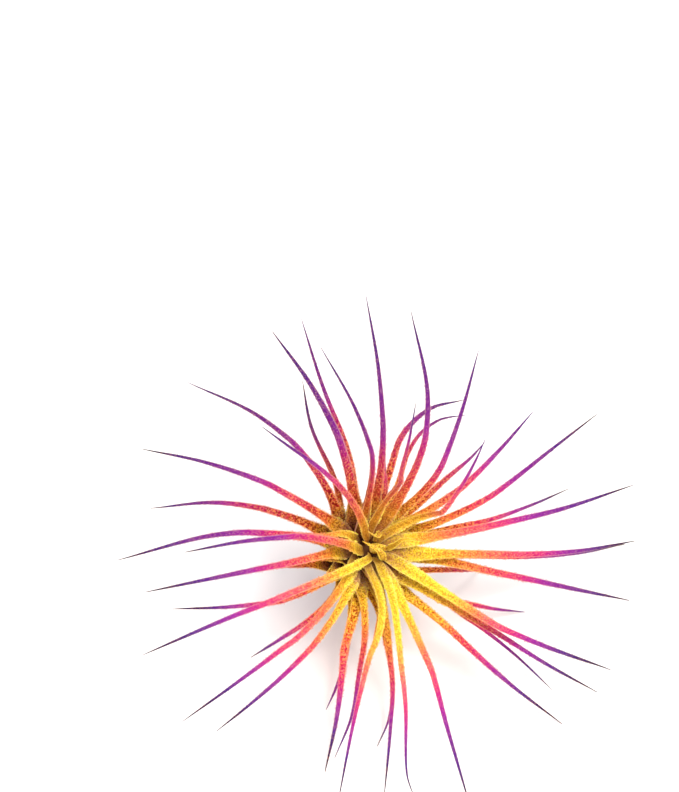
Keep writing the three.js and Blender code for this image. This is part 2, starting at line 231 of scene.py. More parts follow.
bpy.ops.mesh.select_all(action="SELECT")
bpy.ops.mesh.normals_make_consistent(inside=False)
bpy.ops.object.mode_set(mode="OBJECT")
bpy.ops.object.shade_smooth()
stem.data.materials.append(bark)
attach(stem, "root")
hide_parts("stem")

# Leaves: each is one tapered channelled strip of firm tissue, clasping the stem
# at its base, arching out of the rosette and ending in a hair-fine tip. They
# grew in a spiral; the youngest comes first in this list.
TABLE = "table"
# Blade width in mm; the shares along the leaf where yellow ends, where magenta
# begins and where the dark tip begins; then the points the middle line passes,
# in mm from the growing point: across, up, towards the viewer. TABLE stands for
# the depth at which a tip rests on the table.
LEAVES = [
    (1.2, (1.3, 2, 3),
     [(1.0, -1.0, 4.0), (0.3, -0.2, 6.4), (-2.8, 1.5, 7.0)]),
    (1.0, (1.3, 2, 3),
     [(0.2, 2.3, 3.4), (-1.6, 3.4, 5.4)]),
    (1.8, (0.27, 0.55, 0.8),
     [(-11.7, -6.2, 13.4), (-17, -8.8, 14), (-30.4, -14.2, 11), (-46.6, -21.3, 4)]),
    (1.0, (1, 2, 3),
     [(5.8, 1.8, 6.4), (10.6, 1.4, 8.8)]),
    (1.7, (0.22, 0.6, 0.95),
     [(-5.2, 10.2, 12), (-11, 15.8, 14.6), (-18.2, 21, 16.4), (-22.8, 24.4, 17)]),
    (1.7, (0.47, 0.66, 0.88),
     [(4.2, -18.6, 12.6), (5.7, -30.4, 14), (6.2, -45.4, 11), (7.8, -49.8, TABLE)]),
    (1.6, (0.4, 0.72, 1.05),
     [(12.4, 6.8, 7), (16.5, 11.8, 12), (19.8, 17.8, 16), (21.6, 21.9, 18)]),
    (1.85, (0.2, 0.5, 0.88),
     [(-10.4, 2.4, 12), (-20.4, 2.1, 14), (-27, 1.4, 14), (-38.2, -0.7, 11)]),
    (1.9, (0.36, 0.53, 0.78),
     [(12.4, -8.2, 5.4), (19.4, -13.2, 6), (30.4, -18.3, 2), (47.4, -24.8, TABLE)]),
    (1.7, (0.3, 0.74, 0.95),
     [(4.1, 11.4, 10), (5.0, 16, 15), (6.4, 21.6, 20), (7.8, 29.1, 25.4)]),
    (1.9, (0.48, 0.67, 0.86),
     [(5.2, -9.8, 9.8), (-0.1, -17.8, 13.6), (-3.6, -30, 14.4), (-7.6, -50.4, TABLE)]),
    (1.9, (0.2, 0.5, 0.85),
     [(12, 1.6, 2), (22.2, 4.3, 1), (36.6, 7.6, -4), (51.9, 12.5, -12)]),
    (1.4, (0.55, 1.1, 2),
     [(-9.4, 2.6, 8.8), (-15.4, 2.6, 10.2), (-22, 2.1, 9.6)]),
    (1.9, (0.36, 0.57, 0.86),
     [(5.4, -12.6, 6), (10.2, -22.2, 7.6), (14.2, -36, 8.6), (18.8, -51.6, TABLE)]),
    (1.9, (0.2, 0.5, 0.97),
     [(7.2, 12, 4.6), (9.4, 20, 7), (10.2, 31, 6), (7.0, 47.4, 0)]),
    (1.8, (0.25, 0.58, 0.8),
     [(-10.4, -13.2, 11.6), (-19.8, -20.6, 12), (-28, -26.8, 9), (-38.8, -34.7, 3)]),
    (1.9, (0.3, 0.6, 0.84),
     [(16, -1.0, 0), (27, -1.4, -2), (40, -0.8, -8), (52.5, 1.2, -17)]),
    (1.8, (0.2, 0.46, 0.97),
     [(0.3, 13, 7), (-1.4, 20.4, 9.4), (-4.6, 28.6, 10.4), (-11.2, 40.4, 9)]),
    (1.2, (0.6, 1.2, 2),
     [(0.6, -12.6, 5.4), (-0.6, -19, 7), (-2.6, -26, 8)]),
    (1.9, (0.3, 0.62, 1.0),
     [(9.4, 6.4, 1), (17.4, 12.4, 1.6), (24.8, 19.7, -2), (31.6, 27.3, -8)]),
    (1.8, (0.22, 0.5, 0.82),
     [(-9, -1.2, 8.6), (-22.4, -3.8, 9), (-34, -6.2, 7), (-46.2, -8.8, 3)]),
    (1.9, (0.36, 0.56, 0.8),
     [(14.4, -11.2, 2.6), (24, -17, 1), (33.4, -22.9, -2.6), (44.6, -29.2, TABLE)]),
    (1.8, (0.16, 0.42, 1.0),
     [(1.4, 12, 3.4), (1.4, 22, 5), (0.4, 36, 2), (-2, 50.6, -5)]),
    (1.8, (0.36, 0.56, 0.82),
     [(-8.4, -14.4, 7.6), (-17, -23.8, 6.6), (-25, -31, 3), (-32, -36.8, TABLE)]),
    (1.9, (0.26, 0.52, 0.84),
     [(14.4, -3.2, -2), (27, -5.6, -7), (40, -8.5, -16), (51.6, -11.1, TABLE)]),
    (1.8, (0.18, 0.5, 0.88),
     [(-9, 5.4, 6), (-19, 11.6, 6), (-33, 16.8, 2), (-47, 19.8, -5)]),
    (1.7, (0.36, 0.6, 0.84),
     [(2.2, -18.4, 4.6), (3.2, -27, 6), (2.8, -36, 7), (1.6, -49.4, TABLE)]),
    (1.8, (0.28, 0.5, 1.0),
     [(9.6, 9.4, 1), (13.6, 17.8, 2.6), (17, 27, 1), (20.6, 39.6, -5)]),
    (1.5, (0.4, 0.9, 1.4),
     [(-10.4, -1.8, 5), (-19, -3.4, 4.6), (-28, -4.9, 1)]),
    (1.4, (0.36, 0.6, 0.9),
     [(14.4, -11.4, -1), (21, -16, -3), (28, -21.6, -6), (35.6, -28.8, -9)]),
    (2.4, (0.18, 0.45, 0.97),
     [(-5, 14.2, 3), (-7.6, 22, 4), (-13.0, 32.4, 2), (-20.8, 43.4, -3)]),
    (1.9, (0.34, 0.62, 0.95),
     [(-1.8, -14, 5), (-3.4, -24.4, 7.4), (-5, -33.4, 7), (-8.6, -41.8, 5)]),
    (1.7, (0.25, 0.52, 0.84),
     [(12.2, 4.0, -1.6), (22, 9.6, -5), (36.2, 20.3, -13.4), (44.8, 26.8, -20)]),
    (1.8, (0.12, 0.45, 0.85),
     [(-11, 1.8, 5), (-19, 3.0, 4), (-32, 2.6, 0), (-52, -2.6, -9)]),
    (2.3, (0.36, 0.6, 0.82),
     [(10.6, -12.4, 0), (17.6, -19.2, -2.4), (26.6, -27.2, -4), (37.4, -35.4, TABLE)]),
    (1.5, (0.25, 0.7, 1.0),
     [(1.8, 11, -2), (1.6, 17, -4), (2.0, 23, -8)]),
    (1.7, (0.25, 0.62, 0.82),
     [(-10, -7, 4), (-17, -10, 3), (-28, -11.7, -2), (-41, -12.4, -9)]),
    (1.7, (0.3, 0.55, 0.85),
     [(13, -1.2, -7), (28, -2.0, -16), (40.4, -1.5, -27), (51, 0.2, TABLE)]),
    (1.9, (0.12, 0.45, 1.0),
     [(-8.6, 11.4, 2), (-12.6, 17, 1.4), (-23.4, 26.2, -3), (-38, 33.2, -14)]),
    (2.2, (0.34, 0.64, 0.84),
     [(-5.6, -15, 3), (-6.8, -25, 4), (-7.9, -34, 4.6), (-10.2, -44.7, TABLE)]),
    (1.3, (0.3, 0.62, 1.0),
     [(4.4, 13.4, -8), (8, 21.6, -14), (12.6, 25.4, -21), (18.7, 26.6, -30)]),
    (1.3, (0.4, 1.0, 1.6),
     [(-12.6, -1.6, 4.4), (-17.6, -2.6, 2.6), (-23.6, -3.8, -1)]),
    (1.6, (0.3, 0.7, 1),
     [(11, -4.6, -9), (18, -4.8, -19), (21.6, -4.5, TABLE)]),
    (1.7, (0.15, 0.6, 1.1),
     [(-3, 13, -1), (-6.6, 22, -3), (-10.6, 32, -7), (-15, 46, -16)]),
    (1.7, (0.34, 0.66, 0.9),
     [(-7.6, -9.6, 2), (-14, -14.8, 0), (-19, -18.2, -4), (-25.2, -22.2, -10)]),
    (1.5, (0.3, 0.62, 0.86),
     [(13, 3.6, -9), (22, 5.2, -14), (31.6, 8.4, -22), (39.3, 11.6, -30)]),
    (1.9, (0.2, 0.62, 0.92),
     [(-11, 4.2, 0), (-19.6, 7.0, -4), (-31.6, 8.9, -10), (-45.6, 7.7, -20)]),
    (1.6, (0.42, 0.74, 0.92),
     [(1.6, -17, -1), (3.2, -26, -1), (2.6, -34, -1), (0.2, -39.8, TABLE)]),
    (2.0, (0.22, 0.62, 0.95),
     [(2.6, 14.6, -8.4), (5, 22, -13), (10.6, 27.6, -20), (17.8, 29.6, -28)]),
    (1.6, (0.2, 0.6, 1),
     [(-14.6, -3, 1), (-18.4, -3.6, -8), (-17.6, -3.3, TABLE)]),
    (1.8, (0.5, 0.74, 1),
     [(11, -10.2, -9), (18.4, -11.4, -15), (24, -12.6, -20), (30.3, -13.4, TABLE)]),
    (1.9, (0.22, 0.62, 0.9),
     [(-6.4, 10, -5), (-9.6, 16.4, -9), (-13, 24, -15), (-14.8, 33.5, -24)]),
    (1.9, (0.5, 0.74, 1),
     [(-5.2, -14, -2), (-6.2, -22, -3), (-8, -28, -4), (-10, -32.6, TABLE)]),
    (1.8, (0.34, 0.74, 1.05),
     [(9, 9, -12), (13.6, 13.2, -18), (19.2, 17.8, -26), (22.2, 21, -32)]),
]

# The spiral, in degrees and mm: where each base stands on the stub, how it leans
# out, where the leaf leaves the rosette, and how wide and thick it is.
FIRST_TURN = 309.0
GOLDEN_TURN = 137.508
FIRST_DROP = 0.5
INTERNODE = 0.275
STEM_CLEARANCE = 0.85
LEAF_CLEARANCE = 0.42
BASE_LEAN = 27.0
BASE_RUN = 4.6
TINY_RUN_PART = 0.4
TINY_LEAVES = (0, 1, 3)
THROAT_RADIUS = 10.0
THROAT_TOP = 8.0
THROAT_STEP = 0.235
THROAT_TURN = 0.5
STATIONS = 25
COUNT = len(LEAVES)
WIDTH_X = [0, 0.08, 0.15, 0.22, 0.3, 0.45, 0.7, 0.88, 1]
WIDTH_Y = [0.95, 1.45, 1.5, 1.18, 0.93, 0.76, 0.52, 0.37, 0.36]
LEAST_WIDTH = 0.64
SHEATH_GROWN = 18.0
THROAT_SHARE = 0.95
THICK_X = [0, 0.25, 0.5, 0.8, 1]
THICK_Y = [0.62, 0.72, 0.78, 0.68, 0.64]


def waypoint(row):
    toward = -HEART_HEIGHT / HALF - row[1] if row[2] == TABLE else row[2]
    return place(row[0], row[1], toward) + HEART


def bend(p1, p2, m1, m2, t):
    # From p1 to p2, leaving along m1 and arriving along m2.
    return (p1 + m1 * t + (-3 * p1 + 3 * p2 - 2 * m1 - m2) * t ** 2
            + (2 * p1 - 2 * p2 + m1 + m2) * t ** 3)


def curve_through(points, share):
    # Centripetal curve through the points, at a share of its whole run.
    last = len(points) - 1
    spot = min(int(last * share), last - 1)
    t = last * share - spot
    p1, p2 = points[spot], points[spot + 1]
    p0 = points[spot - 1] if spot > 0 else 2 * p1 - p2
    p3 = points[spot + 2] if spot + 2 <= last else 2 * p2 - p1
    d0, d1, d2 = (math.sqrt(np.linalg.norm(b - a)) for a, b in ((p0, p1), (p1, p2), (p2, p3)))
    m1 = d1 * ((p1 - p0) / d0 - (p2 - p0) / (d0 + d1) + (p2 - p1) / d1)
    m2 = d1 * ((p2 - p1) / d1 - (p3 - p1) / (d1 + d2) + (p3 - p2) / d2)
    return bend(p1, p2, m1, m2, t)


def run_along(points):
    # How far along the line each of its points lies.
    return np.concatenate([[0], np.cumsum(np.linalg.norm(np.diff(points, axis=0), axis=1))])


def walk(points, count, steps=400):
    # Evenly spaced points on the curve.
    dense = np.array([curve_through(points, i / steps) for i in range(steps + 1)])
    reach = run_along(dense)
    goals = np.linspace(0, reach[-1], count)
    return np.stack([np.interp(goals, reach, dense[:, k]) for k in range(3)], axis=1)


def ease(points, passes=30, first=2, end=12, fade=4, part=0.5):
    # Evens out the bend where a leaf leaves the rosette; the blade stays put.
    for _ in range(passes):
        old = points.copy()
        for i in range(first, end):
            middle = (old[i - 1] + old[i + 1]) / 2
            points[i] += (middle - points[i]) * part * min((end - i) / fade, 1)
    return points


def throat(order, out, middle):
    # The point where a leaf leaves the rosette, between its base and its blade.
    arm = middle - HEART
    arm = unit(arm - AXIS * arm.dot(AXIS))
    heading = unit(arm + (out - arm) * THROAT_TURN)
    return HEART + AXIS * (THROAT_TOP - THROAT_STEP * order) + heading * THROAT_RADIUS


def swell(order, shape):
    # A sheath is wider than its blade, and more so with age.
    shape = np.asarray(shape)
    age = np.minimum(order / SHEATH_GROWN, 1.0)
    return np.where(shape > THROAT_SHARE, THROAT_SHARE + (shape - THROAT_SHARE) * age, shape)


outs = []
lines = []
rests = []
tiny = np.isin(np.arange(COUNT), TINY_LEAVES)
lean = math.radians(BASE_LEAN)
for order, (blade, tones, path) in enumerate(LEAVES):
    drop = FIRST_DROP + order * INTERNODE
    out = around(FIRST_TURN + GOLDEN_TURN * order)
    foot = HEART - AXIS * drop + out * (stem_radius(drop) + STEM_CLEARANCE)
    small = tiny[order]
    run = BASE_RUN * TINY_RUN_PART if small else BASE_RUN
    shoulder = foot + AXIS * run * math.cos(lean) + out * run * math.sin(lean)
    way = [waypoint(point) for point in path]
    knots = [foot, shoulder] + ([] if small else [throat(order, out, way[0])]) + way
    outs.append(out)
    lines.append(ease(walk(knots, STATIONS)))
    rests.append(path[-1][2] == TABLE)
outs = np.array(outs)
spines = np.array(lines)
homes = spines.copy()
blades = np.array([row[0] for row in LEAVES])


def carry_frames(points, first_sides):
    # Side and face direction at each station, carried along without twist.
    ahead = np.concatenate([points[:, 1:], points[:, -1:]], axis=1)
    behind = np.concatenate([points[:, :1], points[:, :-1]], axis=1)
    tangents = unit(ahead - behind)
    sides = np.zeros_like(points)
    side = first_sides
    for i in range(points.shape[1]):
        t = tangents[:, i]
        side = unit(side - t * np.sum(side * t, axis=1, keepdims=True))
        sides[:, i] = side
    return sides, np.cross(tangents, sides)


# Near the stem a leaf is only as wide as the room round the axis lets it be.
SNUG_RATE = 0.55
SNUG_LESS = 0.4
SNUG_LEAST = 0.7
SNUG_UNTIL = 0.34
TINY_SNUG_UNTIL = 0.26


def widths(points):
    share = np.linspace(0, 1, points.shape[1])
    orders = np.arange(COUNT)[:, None]
    wanted = blades[:, None] * swell(orders, np.interp(share, WIDTH_X, WIDTH_Y)[None, :])
    wanted = np.maximum(wanted, LEAST_WIDTH)
    arm = points - HEART
    off = np.linalg.norm(arm - AXIS * (arm @ AXIS)[..., None], axis=2)
    snug = np.minimum(wanted, np.maximum(SNUG_RATE * off - SNUG_LESS, SNUG_LEAST))
    snug_until = np.where(tiny, TINY_SNUG_UNTIL, SNUG_UNTIL)[:, None]
    return np.where(share[None, :] > snug_until, wanted, snug)


# Leaves that touch settle apart, the older one always to the outside near the
# stem, while their bases and resting tips stay where they are. Sizes are in mm,
# and the two limits on how far apart a pair may be are squared.
NEAR_SQUARED = 90.0
TOUCH_SQUARED = 20.0
SPARE_DEPTH = 0.12
SPARE_WIDTH = 0.35
EARLY_STATIONS = 8
HOLD_STATIONS = 3
FADE_WIDTH = 0.7
MOST_LACK = 0.5
PUSH_PART = 0.35
MOST_STEP = 0.25
EVEN_PART = 0.3
SETTLE_PASSES = 70
first_sides = unit(np.cross(AXIS, outs))
flat = spines.reshape(-1, 3)
owner = np.repeat(np.arange(COUNT), STATIONS)
station = np.tile(np.arange(STATIONS), COUNT)
near_a, near_b = [], []
for n in range(len(flat)):
    close = np.sum((flat - flat[n]) ** 2, axis=1) < NEAR_SQUARED
    close &= (owner > owner[n]) & (station > 0) & (station[n] > 0)
    hits = np.nonzero(close)[0]
    near_a.append(np.full(len(hits), n))
    near_b.append(hits)
near_a = np.concatenate(near_a)
near_b = np.concatenate(near_b)
thick = np.interp(station / (STATIONS - 1), THICK_X, THICK_Y)
hold = np.minimum(np.arange(STATIONS) / HOLD_STATIONS, 1)[None, :].repeat(COUNT, 0)
grip = np.minimum((STATIONS - 1 - np.arange(STATIONS)) / HOLD_STATIONS, 1)
hold[np.array(rests)] *= grip
_, faces = carry_frames(spines, first_sides)
for _ in range(SETTLE_PASSES):
    flat = spines.reshape(-1, 3)
    flat_faces = faces.reshape(-1, 3)
    size = widths(spines).reshape(-1)
    gap = flat[near_a] - flat[near_b]
    use = np.sum(gap ** 2, axis=1) <= TOUCH_SQUARED
    a, b, gap = near_a[use], near_b[use], gap[use]
    face_a, face_b = flat_faces[a], flat_faces[b]
    agree = np.where(np.sum(face_a * face_b, axis=1) < 0, -1.0, 1.0)
    face = unit(face_a + face_b * agree[:, None])
    depth = np.sum(gap * face, axis=1)
    aside = np.linalg.norm(gap - face * depth[:, None], axis=1)
    need = (thick[a] + thick[b]) / 2 + LEAF_CLEARANCE + SPARE_DEPTH
    wide = (size[a] + size[b]) / 2 + LEAF_CLEARANCE + SPARE_WIDTH
    early = (station[a] < EARLY_STATIONS) & (station[b] < EARLY_STATIONS)
    sign = np.where(early | (depth == 0), 1.0, np.sign(depth))
    lack = need - depth * sign
    fade = np.where(aside < wide - FADE_WIDTH, 1.0, (wide - aside) / FADE_WIDTH)
    push = np.minimum(lack, MOST_LACK) * PUSH_PART * fade * sign
    push[(aside > wide) | (lack <= 0)] = 0.0
    moves = np.zeros_like(flat)
    np.add.at(moves, a, face * push[:, None])
    np.add.at(moves, b, -face * push[:, None])
    raw = moves.reshape(spines.shape)
    after = np.concatenate([raw[:, 1:], raw[:, -1:]], axis=1)
    # Each move is shared with the stations beside it: a quarter, a half, a quarter.
    step = raw * 0.5
    step[:, 1:] += raw[:, :-1] * 0.25
    step += after * 0.25
    length = np.linalg.norm(step, axis=2, keepdims=True)
    step *= np.minimum(1.0, MOST_STEP / np.maximum(length, 1e-12))
    step[:, 0] = 0.0
    spines = spines + step * hold[..., None]
    offsets = spines - homes
    for i in range(1, STATIONS - 1):
        middle = (offsets[:, i - 1] + offsets[:, i + 1]) / 2
        offsets[:, i] += (middle - offsets[:, i]) * EVEN_PART
        spines[:, i] = homes[:, i] + offsets[:, i]
    _, faces = carry_frames(spines, first_sides)

# Blades: each strip of leaf tissue is skinned round its middle line. The inner
# face is hollowed into a channel, the outer face is rounded, the margins are
# thin, and the end draws out to a hair.
AROUND = 16
ALONG = 72
FINE_WIDTH_X = [0, 0.08, 0.15, 0.22, 0.3, 0.45, 0.7, 0.88, 0.95, 1]
FINE_WIDTH_Y = [0.95, 1.45, 1.5, 1.18, 0.93, 0.76, 0.5, 0.28, 0.16, 0.06]
FINE_THICK_X = [0, 0.25, 0.5, 0.8, 0.95, 1]
FINE_THICK_Y = [0.8, 0.62, 0.52, 0.36, 0.2, 0.08]
CHANNEL_X = [0, 0.2, 0.5, 0.85, 1]
CHANNEL_Y = [0.2, 0.36, 0.34, 0.16, 0.04]
CHANNEL_MIDDLE = 0.3
MARGIN_PLUMP = 0.35

# Sheaths clasp the ones inside them, and more so from leaf to leaf. Each base
# is tucked in to sit on the stub, and resting tips are let down to the table.
HUG_X = [0, 0.05, 0.14, 0.24]
HUG_Y = [1.4, 1.55, 1.3, 1.0]
HUG_FROM_LEAF = 4
HUG_START = 0.45
HUG_GROWN = 40
HUG_MOST = 1.0
BASE_TUCK = 1.0
BASE_SHARE = 0.07
REST_FROM = 0.75
REST_TIP = 0.9
REST_EASE = 1.5

# The youngest leaf is a short stout hook in the middle of the heart.
HOOK_WIDTH = 1.2
HOOK_THICKNESS = 1.5
HOOK_CHANNEL = 0.35
HEART_LEAVES = 2
HEART_LEAF_SHARE = 0.4


def finer(values, count):
    # Smooth curve through evenly spaced values, read at more places.
    last = values.shape[0] - 1
    spot = np.linspace(0, last, count)
    low = np.minimum(spot.astype(int), last - 1)
    t = (spot - low)[:, None]
    p1, p2 = values[low], values[low + 1]
    p0 = np.where((low > 0)[:, None], values[np.maximum(low - 1, 0)], 2 * p1 - p2)
    p3 = np.where((low + 2 <= last)[:, None], values[np.minimum(low + 2, last)], 2 * p2 - p1)
    return bend(p1, p2, (p2 - p0) / 2, (p3 - p1) / 2, t)


def bulge(side):
    # The section's thickness: full in the middle, thin at the margins.
    return side * (MARGIN_PLUMP + (1 - MARGIN_PLUMP) * side ** 2)


def channel(across):
    # The section's hollow: low in the middle, raised at the margins.
    return across ** 2 - CHANNEL_MIDDLE


def write_facts(mesh, facts, grid):
    # What the leaf tissue reads: a fact for each point, and its place in mm.
    for key, values in facts.items():
        layer = mesh.attributes.new(key, "FLOAT", "POINT")
        layer.data.foreach_set("value", values.astype(np.float32))
    layer = mesh.attributes.new("leaf_mm", "FLOAT_VECTOR", "POINT")
    layer.data.foreach_set("vector", grid.astype(np.float32).ravel())


def copy_blank(name):
    piece = blank.copy()
    piece.data = blank.data.copy()
    piece.name = piece.data.name = name
    bpy.context.collection.objects.link(piece)
    return piece


def move_points(piece, spots):
    piece.data.vertices.foreach_set("co", metres(spots).astype(np.float32).ravel())
    piece.data.update()


blank = new_rod("leaf_blank", AROUND, ALONG - 1)
blank_at = np.array([v.co for v in blank.data.vertices])
blank_share = blank_at[:, 2] + 0.5
blank_turn = np.arctan2(blank_at[:, 1], blank_at[:, 0])
blank_across = np.cos(blank_turn)
blank_side = np.sin(blank_turn)
blank_bulge = bulge(blank_side)
ring = np.rint(blank_share * ALONG).astype(int)
everywhere = np.ones(len(blank_share))

# The dye runs in stages, from yellow at 1 to the near-black tip at 7. On older
# leaves it starts further out, over a pale foot. Leaves whose tips reach up and
# to the left took it deeper.
STAGES = [1, 1.3, 2, 3, 4, 5, 6, 7]
LAST_STAGE = 7
GROWN_LEAF = 24
PALE_FOOT = 0.06
YELLOW_AT = 0.11
LEMON_FROM = 0.12
LEMON_YOUNG = 0.8
LEMON_LESS = 0.18
FIRST_STAGE = 0.9
PINK_PART = 0.4
MAGENTA_RUN = 0.12
TIP_RUN = 0.06
DEEP_FROM = 20.0
DEEP_RUN = 55.0
DEEP_MIDDLE = 1.1
DEEP_ACROSS = 50.0
DEEP_LEAST = 0.3
DEEP_SHIFT = 0.04
LEAF_SPACING = 9.0

all_sides, _ = carry_frames(spines, first_sides)
station_share = np.linspace(0, 1, STATIONS)
share = np.linspace(0, 1, ALONG + 1)
coarse_width = widths(spines)
leaves = []
shapes = []
stages = []
for order, (blade, tones, path) in enumerate(LEAVES):
    piece = copy_blank(f"blade_{order + 1:02d}")
    middle = finer(spines[order], ALONG + 1)
    side = finer(all_sides[order], ALONG + 1)
    run = unit(np.gradient(middle, axis=0))
    side = unit(side - run * np.sum(side * run, axis=1, keepdims=True))
    face = np.cross(run, side)
    tuck = BASE_TUCK * np.clip(1 - share / BASE_SHARE, 0, 1)
    middle = middle - outs[order] * tuck[:, None]
    snug = np.interp(share, station_share, coarse_width[order])
    clasp = 0.0 if order < HUG_FROM_LEAF else min(HUG_START + order / HUG_GROWN, HUG_MOST)
    hug = 1 + (np.interp(share, HUG_X, HUG_Y) - 1) * clasp
    fine = swell(order, np.interp(share, FINE_WIDTH_X, FINE_WIDTH_Y))
    width = np.minimum(snug, blade * fine) * hug
    half = np.interp(share, FINE_THICK_X, FINE_THICK_Y) / 2
    hollow = width * np.interp(share, CHANNEL_X, CHANNEL_Y)
    if order == 0:
        width *= HOOK_WIDTH
        half *= HOOK_THICKNESS
        hollow *= HOOK_CHANNEL
    shapes.append(np.hstack([middle, side, face, run, width[:, None], half[:, None],
                             hollow[:, None]]))
    rise = hollow[ring] * channel(blank_across) + half[ring] * blank_bulge
    spots = (middle[ring] + side[ring] * (blank_across * width[ring] / 2)[:, None]
             + face[ring] * rise[:, None])
    if rests[order]:
        let_down = np.clip((blank_share - REST_FROM) / (1 - REST_FROM), 0, 1) ** REST_EASE
        spots[:, 2] -= spots[blank_share > REST_TIP, 2].min() * let_down
        spots[:, 2] -= min(0.0, spots[:, 2].min()) * (blank_share > REST_FROM)
    move_points(piece, spots)
    deeper = np.clip((path[-1][1] + DEEP_FROM) / DEEP_RUN, 0.0, 1.0)
    deeper *= np.clip(DEEP_MIDDLE - path[-1][0] / DEEP_ACROSS, DEEP_LEAST, 1.0)
    warm, cool, dark = tones
    cool -= DEEP_SHIFT * deeper
    grown = min(order / GROWN_LEAF, 1.0)
    pale = grown * PALE_FOOT
    lemon = LEMON_YOUNG - LEMON_LESS * grown
    stage_at = [pale, YELLOW_AT + pale, max(lemon * warm, LEMON_FROM + pale), warm + pale / 2,
                warm + PINK_PART * (cool - warm) + pale / 2, cool, cool + MAGENTA_RUN, dark,
                max(dark + TIP_RUN, 1.0)]
    first_stage = FIRST_STAGE - FIRST_STAGE * grown
    stages.append(np.interp(share, stage_at, [first_stage] + STAGES) / LAST_STAGE)
    facts = {
        "tone": stages[-1][ring],
        "deep": everywhere * deeper,
        "margin": np.abs(blank_across),
        "outer": (blank_side < 0).astype(float),
        "age": everywhere * order / (COUNT - 1),
        "share": blank_share * (HEART_LEAF_SHARE if order < HEART_LEAVES else 1.0),
    }
    grid = np.stack([blank_across * width[ring] / 2, run_along(middle)[ring],
                     half[ring] * blank_side + LEAF_SPACING * order], axis=1)
    write_facts(piece.data, facts, grid)
    leaves.append((piece, f"leaf_{order + 1:02d}"))

# Leaf tissue: firm, matt and covered in silvery scales. Dyed from yellow at the
# heart through orange and magenta to purple, with a dry near-black tip. The
# scales are drawn as fine as the render can show, and real ones may be finer.
SCALE_SIZE = 0.23
SCALE_RELIEF = 0.15
PATCH_SIZE = 4.0
UNDERSIDE_ROUGHER = 0.3
UNDERSIDE_LESS = 0.16
PATCH_WANDER = 0.03
SCALE_WANDER = 0.08
DEEP_TONE = 0.035
FLESH_DEPTH = 0.4
DYES = [(0.0, "#d79f8c"), (0.08, "#e0b868"), (0.14, "#f8e43e"), (0.21, "#f4c92e"),
        (0.30, "#ee8c32"), (0.43, "#de384a"), (0.56, "#be1e6a"), (0.68, "#8a1e88"),
        (0.84, "#4b1d78"), (0.93, "#331848"), (1.0, "#120e16")]
tissue = fresh("scaly_leaf_tissue")
tree = tissue.node_tree
grid = node(tree, "ShaderNodeAttribute", attribute_name="leaf_mm").outputs["Vector"]
base_tone = node(tree, "ShaderNodeAttribute", attribute_name="tone").outputs["Fac"]
deep = node(tree, "ShaderNodeAttribute", attribute_name="deep").outputs["Fac"]
age = node(tree, "ShaderNodeAttribute", attribute_name="age").outputs["Fac"]
outer = node(tree, "ShaderNodeAttribute", attribute_name="outer").outputs["Fac"]
along = node(tree, "ShaderNodeAttribute", attribute_name="share").outputs["Fac"]
margin = node(tree, "ShaderNodeAttribute", attribute_name="margin").outputs["Fac"]

# One cell is one scale. Each has its own chance in red, green and blue, and the
# rougher skin of older leaves and of undersides makes more of it. The purple
# ends are smooth.
cells = node(tree, "ShaderNodeTexVoronoi", {"Vector": grid, "Scale": 1 / SCALE_SIZE})
chances = node(tree, "ShaderNodeSeparateColor", {"Color": cells.outputs["Color"]})
older = node(tree, "ShaderNodeMapRange", {"Value": age, "From Min": 0.25, "From Max": 0.75,
                                          "To Min": 0.54, "To Max": 1.0})
rough_under = node(tree, "ShaderNodeMath", {0: outer, 1: UNDERSIDE_ROUGHER,
                                            2: older.outputs["Result"]},
                   operation="MULTIPLY_ADD")
smooth_end = node(tree, "ShaderNodeMapRange", {"Value": base_tone, "From Min": 0.42,
                                               "From Max": 0.62, "To Min": 1.0, "To Max": 0.2})
rugged = node(tree, "ShaderNodeMath", {0: rough_under.outputs["Value"],
                                       1: smooth_end.outputs["Result"]},
              operation="MULTIPLY").outputs["Value"]

# The dye is laid on by the tone along the leaf. Undersides took less of it, and
# it wanders in broad patches and from scale to scale.
held_back = node(tree, "ShaderNodeMath", {0: outer, 1: -UNDERSIDE_LESS, 2: 1.0},
                 operation="MULTIPLY_ADD")
taken = node(tree, "ShaderNodeMath", {0: base_tone, 1: held_back.outputs["Value"]},
             operation="MULTIPLY")
broad = node(tree, "ShaderNodeTexNoise", {"Vector": grid, "Scale": 1 / PATCH_SIZE,
                                          "Detail": 2.0})
wander = node(tree, "ShaderNodeMapRange", {"Value": broad.outputs["Fac"],
                                           "To Min": -PATCH_WANDER, "To Max": PATCH_WANDER})
patchy = node(tree, "ShaderNodeMath", {0: taken.outputs["Value"], 1: wander.outputs["Result"]},
              operation="ADD")
patchy = node(tree, "ShaderNodeMath", {0: deep, 1: DEEP_TONE, 2: patchy.outputs["Value"]},
              operation="MULTIPLY_ADD")
fleck = node(tree, "ShaderNodeMapRange", {"Value": chances.outputs["Red"],
                                          "To Min": -SCALE_WANDER, "To Max": SCALE_WANDER})
tone = node(tree, "ShaderNodeMath", {0: fleck.outputs["Result"], 1: rugged,
                                     2: patchy.outputs["Value"]},
            operation="MULTIPLY_ADD", use_clamp=True)
dye = node(tree, "ShaderNodeValToRGB", {"Fac": tone.outputs["Value"]})
fill_ramp(dye, DYES)

